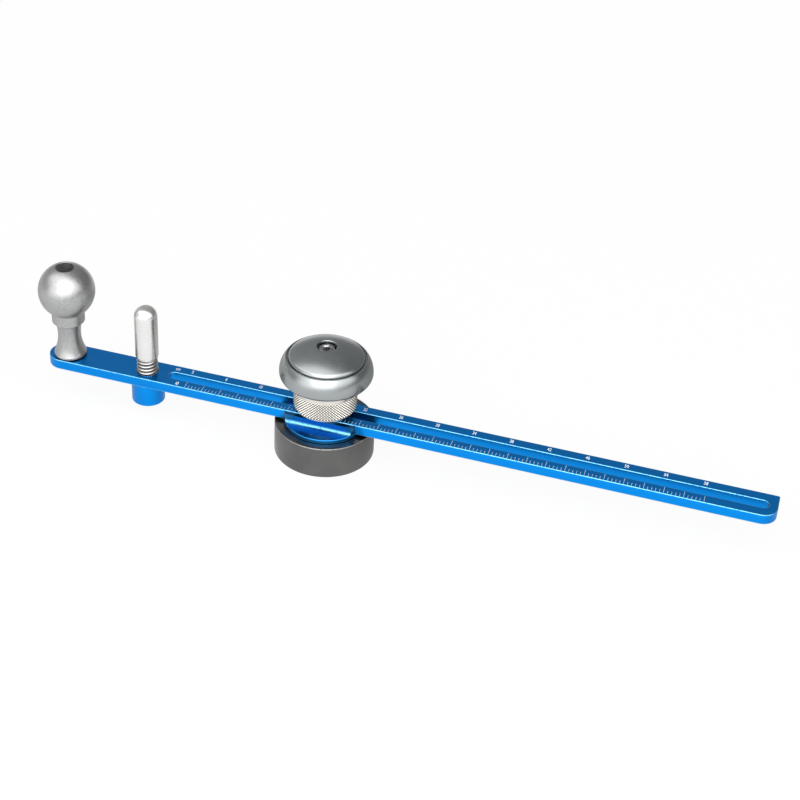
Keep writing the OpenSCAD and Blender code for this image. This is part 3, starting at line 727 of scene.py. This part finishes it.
starts = np.cumsum([0] + [len(made[0]) for made in bands])
beam_points = np.concatenate([made[0] for made in bands])
beam_edge = np.concatenate([made[2] for made in bands])
tops = [start + np.arange(m) * n + n - 1 for start, (m, n) in zip(starts, lengths)]
bottoms = [start + np.arange(m) * n for start, (m, n) in zip(starts, lengths)]
beam_quads = [made[1] + start for made, start in zip(bands, starts)]
beam_quads += [fill(beam_points, tops), fill(beam_points, bottoms)[:, ::-1]]
keep, quads, tris = weld(beam_points, np.concatenate(beam_quads))
beam_faces = quads.tolist() + tris.tolist()
beam = put_mesh("beam_bar", beam_points[keep], beam_faces, edge=beam_edge[keep])
place(beam, "beam", "blue_anodised", blue, "beam")

# %% [markdown]
# ## Scale
# The scale is white paint in shallow lines: a short mark every 2 mm and a long one every
# 10 mm along the front rail, with plain numbers on the rear rail, which give the circle's
# diameter in centimetres. Each mark is a thin plate that stands 0.02 mm proud of the bar, and
# the numbers are flat text made into closed plates of the same thickness. The fine marks look
# bluer than the numbers on the real tool, so they have a thinner paint of their own.

# %% Marks
FIRST_MARK, STEP, MARK_COUNT = -78.4, 2.0, 141
LONG_MARK, SHORT_MARK, MARK_GAP = 4.9, 2.5, 0.15
PROUD = 0.02
MARK_W = 0.1
order = np.arange(MARK_COUNT)
mark_x = FIRST_MARK + STEP * order
mark_end = -HALF + EDGE + np.where(order % 5 == 0, LONG_MARK, SHORT_MARK)
start_y = -HALF + EDGE + MARK_GAP
cube = np.array([[-1, 0, -1], [1, 0, -1], [1, 1, -1], [-1, 1, -1],
                 [-1, 0, 1], [1, 0, 1], [1, 1, 1], [-1, 1, 1]])
cube_faces = np.array([[0, 3, 2, 1], [4, 5, 6, 7], [0, 1, 5, 4],
                       [1, 2, 6, 5], [2, 3, 7, 6], [3, 0, 4, 7]])
marks = np.stack([mark_x[:, None] + MARK_W * cube[None, :, 0],
                  start_y + (mark_end - start_y)[:, None] * cube[None, :, 1],
                  BEAM_TOP + PROUD * cube[None, :, 2] + 0 * mark_x[:, None]], axis=2)
mark_faces = (cube_faces[None] + len(cube) * order[:, None, None]).reshape(-1, 4)
scale_marks = put_mesh("scale_marks", marks.reshape(-1, 3), mark_faces.tolist())
scale_marks.data.polygons.foreach_set("use_smooth", np.zeros(len(mark_faces), dtype=bool))
place(scale_marks, "beam", "nickel_plate", thin_paint)


# %% Numbers
def lettering(words, size, thick):
    """Flat text made a closed plate: points in millimetres about the middle of a word, and faces.

    Its triangles lie PROUD above the bar and, turned over, as far below it. An edge that only
    one triangle has gets a wall. thick is how far the strokes are widened on each side.
    """
    curve = bpy.data.curves.new("scale_text", "FONT")
    curve.body = words
    curve.size = size
    curve.offset = thick
    curve.align_x = "CENTER"
    curve.align_y = "CENTER"
    holder = bpy.data.objects.new("scale_text", curve)
    scene.collection.objects.link(holder)
    ready = holder.evaluated_get(bpy.context.evaluated_depsgraph_get())
    mesh = bpy.data.meshes.new_from_object(ready)
    points = np.empty(len(mesh.vertices) * 3)
    mesh.vertices.foreach_get("co", points)
    corners = np.empty(len(mesh.loops), dtype=np.int32)
    mesh.loops.foreach_get("vertex_index", corners)
    bpy.data.objects.remove(holder)
    points = points.reshape(-1, 3)
    keep, _, tris = weld(points, corners.reshape(-1, 3)[:, [0, 1, 2, 2]])
    points = points[keep]
    n = len(points)
    edges = np.stack([tris, np.roll(tris, -1, axis=1)], axis=-1).reshape(-1, 2)
    a, b = edges[~np.isin(edges @ [n, 1], edges @ [1, n])].T
    walls = np.stack([a + n, b + n, b, a], axis=1)
    up = np.array([0, 0, PROUD])
    faces = tris.tolist() + (tris[:, ::-1] + n).tolist() + walls.tolist()
    return np.concatenate([points + up, points - up]), faces


number_points = []
number_faces = []
count = 0
CONDENSED = np.array([0.68, 1.1, 1])
NUMBER_Y, SIGN_Y = 6.3, -6.6
NUMBER_FROM, NUMBER_EVERY = FIRST_MARK - 0.9, 20
labels = [(str(2 + 4 * k), NUMBER_FROM + NUMBER_EVERY * k, NUMBER_Y) for k in range(15)]
labels += [("cm", -88.0, NUMBER_Y), ("Ø", FIRST_MARK - 5.0, SIGN_Y)]
for words, x, y in labels:
    points, faces = lettering(words, size=3.3, thick=0.025)
    number_points.append(points * CONDENSED + np.array([x, y, BEAM_TOP]))
    number_faces += [[corner + count for corner in face] for face in faces]
    count += len(points)
numbers = put_mesh("scale_numbers", np.concatenate(number_points), number_faces)
numbers.data.polygons.foreach_set("use_smooth", np.zeros(len(number_faces), dtype=bool))
place(numbers, "beam", "nickel_plate", paint)

# %% [markdown]
# ## Cutter boss and post
# The boss is turned and pressed into the beam from below, and the post screws through it. A
# screw thread is a groove that climbs one lead in each turn, so the post's radius is the plain
# profile less a wave of (height / lead - angle / a full turn), faded out at both ends.

# %% Boss
BOSS_R, BOSS_Z, SPIGOT_R, SPIGOT_Z = 9.25, 7.7, 7.3, 20.6
BOSS_BORE_R = 5.89
boss_profile = rounded([(BOSS_BORE_R, BOSS_Z, 0.3), (BOSS_R, BOSS_Z, 0.45),
                        (BOSS_R, SPIGOT_Z, 0.05), (SPIGOT_R, SPIGOT_Z, 0.05),
                        (SPIGOT_R, SEAT_Z, 0.2), (BOSS_BORE_R, SEAT_Z, 0.1)])
boss = turned("boss_turned", boss_profile, centre=(CUTTER_X, 0, 0))
place(boss, "beam", "blue_anodised", blue_boss, "cutter_boss")


# %% Thread
RUN_OUT = 0.8


def thread_rows(radius, z0, z1, lead, per_turn=22):
    """Rows of a plain cylinder, close enough together for a thread to be cut into it."""
    z = np.linspace(z0, z1, int(per_turn * (z1 - z0) / lead))
    return np.stack([0 * z + radius, z, 0 * z], axis=1)


def thread_cut(radius, z0, z1, lead, depth):
    """A function that cuts a right-hand thread: less depth * wave(z / lead - t / turn)."""
    def cut(t, r, z):
        phase = np.abs(2 * ((z / lead - t / (2 * np.pi)) % 1) - 1)
        wave = np.clip(1.6 * phase - 0.2, 0, 1)
        fade = np.clip((z - z0) / RUN_OUT, 0, 1) * np.clip((z1 - z) / RUN_OUT, 0, 1)
        sunk = wave * fade * (np.abs(r - radius) < 1e-6)
        # The second value, how deep a point lies in the groove, is where the finish paints shade.
        return r - depth * sunk, sunk ** 0.7
    return cut


# %% Post
POST_R, POST_FOOT, POST_TOP = 6.45, 15.55, 67.5
THREAD_R = 5.85
post_thread = dict(radius=THREAD_R, z0=17.3, z1=35.2, lead=2.2)
STEM_BORE_R, RING_BORE_R = 2.54, 3.11
post_foot = rounded([(0, 29.25, 0), (STEM_BORE_R, 29.25, 0.05), (STEM_BORE_R, 19.56, 0.05),
                     (RING_BORE_R, 19.56, 0.05), (RING_BORE_R, 18.54, 0.05),
                     (STEM_BORE_R, 18.54, 0.05), (STEM_BORE_R, POST_FOOT, 0.2),
                     (THREAD_R, POST_FOOT, 0.5), (THREAD_R, 17.2, 0)], closed=False)
post_grip = rounded([(THREAD_R, 35.3, 0), (THREAD_R, 35.7, 0.1), (POST_R, 36.6, 0.3),
                     (POST_R, POST_TOP, 5.6), (0, POST_TOP, 0)], closed=False, steps=14)
post_profile = np.concatenate([post_foot, thread_rows(**post_thread), post_grip])
post = turned("post_turned", post_profile, closed=False, steps=128, centre=(CUTTER_X, 0, 0),
              shape=thread_cut(**post_thread, depth=1.05))
place(post, "cutter_post", "bright_steel", post_steel, "cutter_post")

# %% [markdown]
# ## Clamp nut, ring, washer and stud
# The nut's grip is diamond knurled: two families of V grooves cross at opposite slants and
# leave small pyramids. Its radius is the groove's floor plus the lower of two triangle waves.
# Below it a plain ring and a washer press on the beam, and a threaded stud runs through all. The
# washer stands 0.03 mm clear of the beam, so that their faces don't coincide.

# %% Clamp nut
KNURLS = 64
KNURL_DEPTH, KNURL_PITCH, KNURL_END = 0.55, 1.65, 0.5
NUT_Z, NUT_TOP, NUT_BORE_R, NUT_COLLAR_R = 29.3, 43.4, 5.04, 16.65
GRIP_LOW, GRIP_HIGH = 29.8, 40.6
RECESS_R, RECESS_Z = 12.25, 30.5
GRIP_R = 17.1 - KNURL_DEPTH
grip_z = np.linspace(29.95, 40.45, 76)
grip = np.stack([0 * grip_z + GRIP_R, grip_z, 0 * grip_z], axis=1)
nut_low = rounded([(NUT_BORE_R, 37, 0), (NUT_BORE_R, RECESS_Z, 0.2), (RECESS_R, RECESS_Z, 0.1),
                   (RECESS_R, NUT_Z, 0.2), (16.55, NUT_Z, 0.1), (GRIP_R, GRIP_LOW, 0.05),
                   (GRIP_R, 29.9, 0)], closed=False, steps=3)
nut_high = rounded([(GRIP_R, 40.55, 0), (NUT_COLLAR_R, 40.9, 0.1), (NUT_COLLAR_R, NUT_TOP, 0.5),
                    (5.6, NUT_TOP, 0.2), (NUT_BORE_R, 42.9, 0.1), (NUT_BORE_R, 37, 0)],
                   closed=False, steps=3)


def knurl(t, r, z):
    """Grip radius plus the lower of two triangle waves that slant both ways, faded at the ends."""
    rise = z / KNURL_PITCH
    u = KNURLS * t / (2 * np.pi) + rise
    v = KNURLS * t / (2 * np.pi) - rise
    low_wave = np.minimum(1 - np.abs(2 * (u % 1) - 1), 1 - np.abs(2 * (v % 1) - 1))
    fade = np.clip((z - GRIP_LOW) / KNURL_END, 0, 1) * np.clip((GRIP_HIGH - z) / KNURL_END, 0, 1)
    on_grip = np.abs(r - GRIP_R) < 1e-6
    stand = np.clip(1.25 * low_wave, 0, 1) * fade * on_grip
    # The second value, how deep a point lies between the pyramids, is where the finish paints shade.
    return r + KNURL_DEPTH * stand, on_grip * fade * np.clip(1.05 - 2.05 * stand, 0, 1)


nut_profile = np.concatenate([nut_low, grip, nut_high])
nut = turned("clamp_nut_knurled", nut_profile, steps=KNURLS * 12, shape=knurl)
place(nut, "clamp_nut", "nickel_plate", nickel, "clamp_nut")

# %% Ring, washer and stud
WASHER_GAP = 0.03
RING_R, RING_HOLE_R, RING_Z, RING_TOP = 12, 5.25, 28, 30.4
WASHER_Z = 26.4 + WASHER_GAP
ring_profile = rounded([(RING_HOLE_R, RING_Z, 0.2), (RING_R, RING_Z, 0.25),
                        (RING_R, RING_TOP, 0.25), (RING_HOLE_R, RING_TOP, 0.2)])
place(turned("nut_ring_turned", ring_profile), "nut_ring", "brass", brass, "nut_ring")
washer_profile = rounded([(RING_HOLE_R, WASHER_Z, 0.15), (RING_R, WASHER_Z, 0.2),
                          (RING_R, RING_Z, 0.3), (RING_HOLE_R, RING_Z, 0.15)])
clamp_washer = turned("clamp_washer_turned", washer_profile)
place(clamp_washer, "carriage", "bright_steel", steel, "clamp_washer")
STUD_R, STUD_TOP, STUD_SEAT, TAP_R = 5.0, 59.4, 45.8, 2.51
stud_thread = dict(radius=STUD_R, z0=27.4, z1=45.2, lead=1.5)
stud_foot = rounded([(0, 14.6, 0), (3, 14.6, 0.3), (3, 26.7, 0.05), (STUD_R, 26.7, 0.4),
                     (STUD_R, 27.3, 0)], closed=False)
stud_top = rounded([(STUD_R, 45.3, 0), (STUD_R, STUD_SEAT, 0.3), (4, STUD_SEAT, 0.05),
                    (4, STUD_TOP, 0.3), (TAP_R, STUD_TOP, 0.1), (TAP_R, 50, 0.1), (0, 49, 0)],
                   closed=False)
stud_profile = np.concatenate([stud_foot, thread_rows(**stud_thread), stud_top])
stud = turned("pivot_stud_threaded", stud_profile, closed=False, steps=96,
              shape=thread_cut(**stud_thread, depth=0.8))
place(stud, "carriage", "bright_steel", steel, "pivot_stud")

# %% [markdown]
# ## Palm knob
# The knob is turned from aluminium: a rolled lower rim, a swept upper rim that ends in a lip,
# a narrow groove, and a dome whose edge turns down into the groove. Its arcs touch each other,
# so the profile is put together from arcs about known centres, and the screw's well is sunk
# into the crown with its mouth broken.

# %% Knob
KNOB_R, KNOB_Z, KNOB_TOP = 25.1, 46.6, 67.2
LOW_R, RIM_W, RIM_TOP = 4.4, 3.7, 60.2
GROOVE_W, GROOVE_DEPTH = 0.9, 1.5
CROWN_R, DOME_R, WELL_R, WELL_FLOOR = 2.9, 36.0, 5.3, 59.3
KNOB_BORE_R, KNOB_FLANGE_R, KNOB_FLANGE_Z = 6.01, 9.25, 46.8
MOUTH_BREAK = 0.35
waist = KNOB_Z + LOW_R
rim_h = RIM_TOP - waist
rim_r = (RIM_W ** 2 + rim_h ** 2) / (2 * RIM_W)
groove_out = KNOB_R - RIM_W
groove_in = groove_out - GROOVE_W
groove_z = RIM_TOP - GROOVE_DEPTH
turn_r = groove_in - CROWN_R
dome_z = KNOB_TOP - DOME_R
crown_z = dome_z + np.sqrt((DOME_R - CROWN_R) ** 2 - turn_r ** 2)
touch = np.degrees(np.arctan2(crown_z - dome_z, turn_r))
lip = np.degrees(np.arcsin(rim_h / rim_r))
mouth = np.degrees(np.arccos((WELL_R + MOUTH_BREAK) / DOME_R))
inner = [(KNOB_BORE_R, WELL_FLOOR, 0.05), (KNOB_BORE_R, KNOB_FLANGE_Z, 0.05),
         (KNOB_FLANGE_R, KNOB_FLANGE_Z, 0.05), (KNOB_FLANGE_R, KNOB_Z, 0.3)]
lower = np.concatenate([[(KNOB_R - LOW_R, KNOB_Z, 0)],
                        arc(KNOB_R - LOW_R, waist, LOW_R, -85, 0, 22)])
upper = arc(KNOB_R - rim_r, waist, rim_r, 2, lip - 2.5, 24)
groove = [(groove_out, RIM_TOP, 0.3), (groove_out, groove_z, 0.2), (groove_in, groove_z, 0.2),
          (groove_in, crown_z, 0)]
crown = arc(turn_r, crown_z, CROWN_R, 6, touch, 14)
dome = arc(0, dome_z, DOME_R, touch + 1, mouth, 30)
well = [(WELL_R, 66.45, 0.25), (WELL_R, WELL_FLOOR, 0.1)]
knob_profile = rounded(np.concatenate([inner, lower, upper, groove, crown, dome, well]))
knob = turned("palm_knob_turned", knob_profile, steps=224)
place(knob, "palm_knob", "satin_aluminium", satin, "palm_knob")


# %% [markdown]
# ## Socket screws
# A socket screw is turned, and then a hexagon is pressed into its head. Both are one surface
# here: the rows of the socket take the hexagon's radius at each angle, which is the half width
# divided by the cosine of the angle from the nearest flat's middle.


# %% Socket screws
def socket_screw(name, head_r, seat, head_h, key, stem, floor_h, centre):
    """A socket screw: stem rows from below, the head, and a hexagon of rows down to its floor."""
    top = seat + head_h
    head = rounded([*stem, (stem[-1][0], seat, 0.05), (head_r, seat, 0.15), (head_r, top, 0.5),
                    (key * 0.78, top, 0)], closed=False)
    low_z = seat + floor_h
    depths = np.array([top, top, top - 0.05, top - 0.6, top - 0.68, top - 0.9,
                       low_z + 0.2, low_z, low_z])
    widths = np.array([0.65, 0.64, 0.63, 0.51, 0.5, 0.5, 0.5, 0.47, 0.0]) * key
    socket = np.stack([widths, depths, 0 * depths], axis=1)
    rows = np.concatenate([head, socket])
    is_socket = np.arange(len(rows)) >= len(head)

    def hexagon(t, r, z):
        flat = (t + np.pi / 6) % (np.pi / 3) - np.pi / 6
        return np.where(is_socket[None, :], r / np.cos(flat), r + 0 * t), 0 * t + 0 * r

    return turned(name, rows, closed=False, steps=96, centre=centre, shape=hexagon)


HEAD_SEAT = 60.4
knob_stem = [(0, 50.4, 0), (2.2, 50.4, 0), (2.5, 50.8, 0.05)]
knob_screw = socket_screw("knob_screw_socket", head_r=4.25, seat=HEAD_SEAT, head_h=5.0, key=4.0,
                          stem=knob_stem, floor_h=1.6, centre=(0, 0, 0))
place(knob_screw, "carriage", "bright_steel", screw_steel, "knob_screw")
knob_washer_profile = rounded([(TAP_R, STUD_TOP, 0.05), (5.05, STUD_TOP, 0.15),
                               (5.05, HEAD_SEAT, 0.2), (TAP_R, HEAD_SEAT, 0.05)])
knob_washer = turned("knob_washer_turned", knob_washer_profile, steps=96)
place(knob_washer, "carriage", "bright_steel", steel, "knob_washer")

# %% [markdown]
# ## Ball handle
# The handle is one turned piece: a lipped foot, a waist whose flare is an arc, a bevelled
# collar and a ball with a hole down to the screw that it spins on. The ball and the flare are
# arcs about known centres, and the rest are corners between them. The rows inside the hole take
# the finish's light edge colour, which paints light into the hole.

# %% Handle
FOOT_Z, FOOT_R, LIP_Z = 27.2, 9.1, 28.4
NECK_Z, NECK_R, FLARE_R = 40.2, 6.45, 27.6
BALL_Z, BALL_R = 68.1, 15.8
BORE_R, BORE_FLOOR, BORE_MOUTH, SLEEVE_R = 5.25, 56, 82.75, 5.01
COLLAR_R, COLLAR_H = 9.2, 7
COLLAR_Z = BALL_Z - np.sqrt(BALL_R ** 2 - COLLAR_R ** 2) - COLLAR_H
flare_c = NECK_R + FLARE_R
flare_low = 180 + np.degrees(np.arcsin((NECK_Z - LIP_Z) / FLARE_R))
flare_high = 180 - np.degrees(np.arcsin((COLLAR_Z - NECK_Z) / FLARE_R))
ball_low = -np.degrees(np.arccos(COLLAR_R / BALL_R))
ball_high = np.degrees(np.arccos((BORE_R + MOUTH_BREAK) / BALL_R))
handle_profile = rounded(np.concatenate([
    [(SLEEVE_R, FOOT_Z, 0.2), (FOOT_R, FOOT_Z, 0.3), (FOOT_R, LIP_Z, 0.25)],
    arc(flare_c, NECK_Z, FLARE_R, flare_low - 1.2, flare_high + 1.2, 24),
    [(7.65, COLLAR_Z, 0.2), (8.5, COLLAR_Z, 0.15), (COLLAR_R, COLLAR_Z + 0.7, 0.2),
     (COLLAR_R, COLLAR_Z + COLLAR_H, 0.3)],
    arc(0, BALL_Z, BALL_R, ball_low + 1.5, ball_high, 72),
    [(BORE_R, BORE_MOUTH, 0.2), (BORE_R, BORE_FLOOR, 0.1), (SLEEVE_R, BORE_FLOOR, 0.05)]]))
# Painted light: the inside of the hole takes the light edge colour.
in_bore = (handle_profile[:, 0] < BORE_R + 0.05) & (handle_profile[:, 1] > BORE_FLOOR)
handle_profile[in_bore, 2] = 1
handle = turned("ball_handle_turned", handle_profile, steps=192, centre=(HANDLE_X, 0, 0))
place(handle, "ball_handle", "satin_aluminium", satin_ball, "ball_handle")

# %% Handle screw and washer
SHOULDER_Z = 26.4
handle_stem = [(0, 20.7, 0), (2.6, 20.7, 0), (3, 21.1, 0.05), (3, SHOULDER_Z, 0.05),
               (4, SHOULDER_Z, 0.1)]
handle_screw = socket_screw("handle_screw_socket", head_r=5.0, seat=56.1, head_h=5.0, key=5.0,
                            stem=handle_stem, floor_h=1.6, centre=(HANDLE_X, 0, 0))
place(handle_screw, "beam", "bright_steel", steel, "handle_screw")
foot_washer = rounded([(4.25, SHOULDER_Z, 0.1), (7.8, SHOULDER_Z, 0.15), (7.8, FOOT_Z, 0.15),
                       (4.25, FOOT_Z, 0.1)])
handle_washer = turned("handle_washer_turned", foot_washer, steps=96, centre=(HANDLE_X, 0, 0))
place(handle_washer, "beam", "black_plastic", nylon, "handle_washer")

# %% [markdown]
# ## Cutting head
# The wheel is a small hardened disc with a V edge on a pin, in a brass holder that swivels in
# the post. The wheel and pin are turned about a lying axis. The holder is turned and slotted,
# so it is a merged copy of its CAD solid with broken edges, as the carriage is.

# %% Wheel, pin and holder
WHEEL = (CUTTER_X, -0.5, 11.2)
WHEEL_R, WHEEL_HALF, WHEEL_HOLE_R = 2.6, 0.55, 0.69
PIN_R, PIN_HALF = 0.65, 4.45
wheel_profile = rounded([(WHEEL_HOLE_R, -WHEEL_HALF, 0.08), (2.3, -WHEEL_HALF, 0.05),
                         (WHEEL_R, 0, 0.02), (2.3, WHEEL_HALF, 0.05),
                         (WHEEL_HOLE_R, WHEEL_HALF, 0.08)])
wheel = turned("cutting_wheel_ground", wheel_profile, steps=96, centre=WHEEL, lying=True)
place(wheel, "cutting_wheel", "bright_steel", post_steel, "cutting_wheel")
pin_profile = rounded([(0, -PIN_HALF, 0), (PIN_R, -PIN_HALF, 0.15), (PIN_R, PIN_HALF, 0.15),
                       (0, PIN_HALF, 0)], closed=False)
pin = turned("wheel_pin", pin_profile, closed=False, steps=48, centre=WHEEL, lying=True)
place(pin, "wheel_holder", "bright_steel", post_steel, "wheel_axle")
holder = merged_copy("wheel_holder_slotted", "wheel_holder", 0.12)
place(holder, "wheel_holder", "brass", brass_head, "wheel_holder")

# %% [markdown]
# ## Hidden pieces
# The bushes, the hub's washer and screw, the thrust ball and the snap ring can only be seen
# when the tool is taken apart. Their CAD solids are right as they are, so they keep them and
# only get their finishes.

# %% Finishes of the hidden pieces
for name, material in (("pivot_bush", bronze), ("knob_bush", bronze), ("handle_bushes", bronze),
                       ("hub_washer", steel), ("hub_screw", steel), ("thrust_ball", steel),
                       ("stem_ring", steel)):
    for material_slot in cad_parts[name].material_slots:
        material_slot.material = material
print("hidden pieces finished")
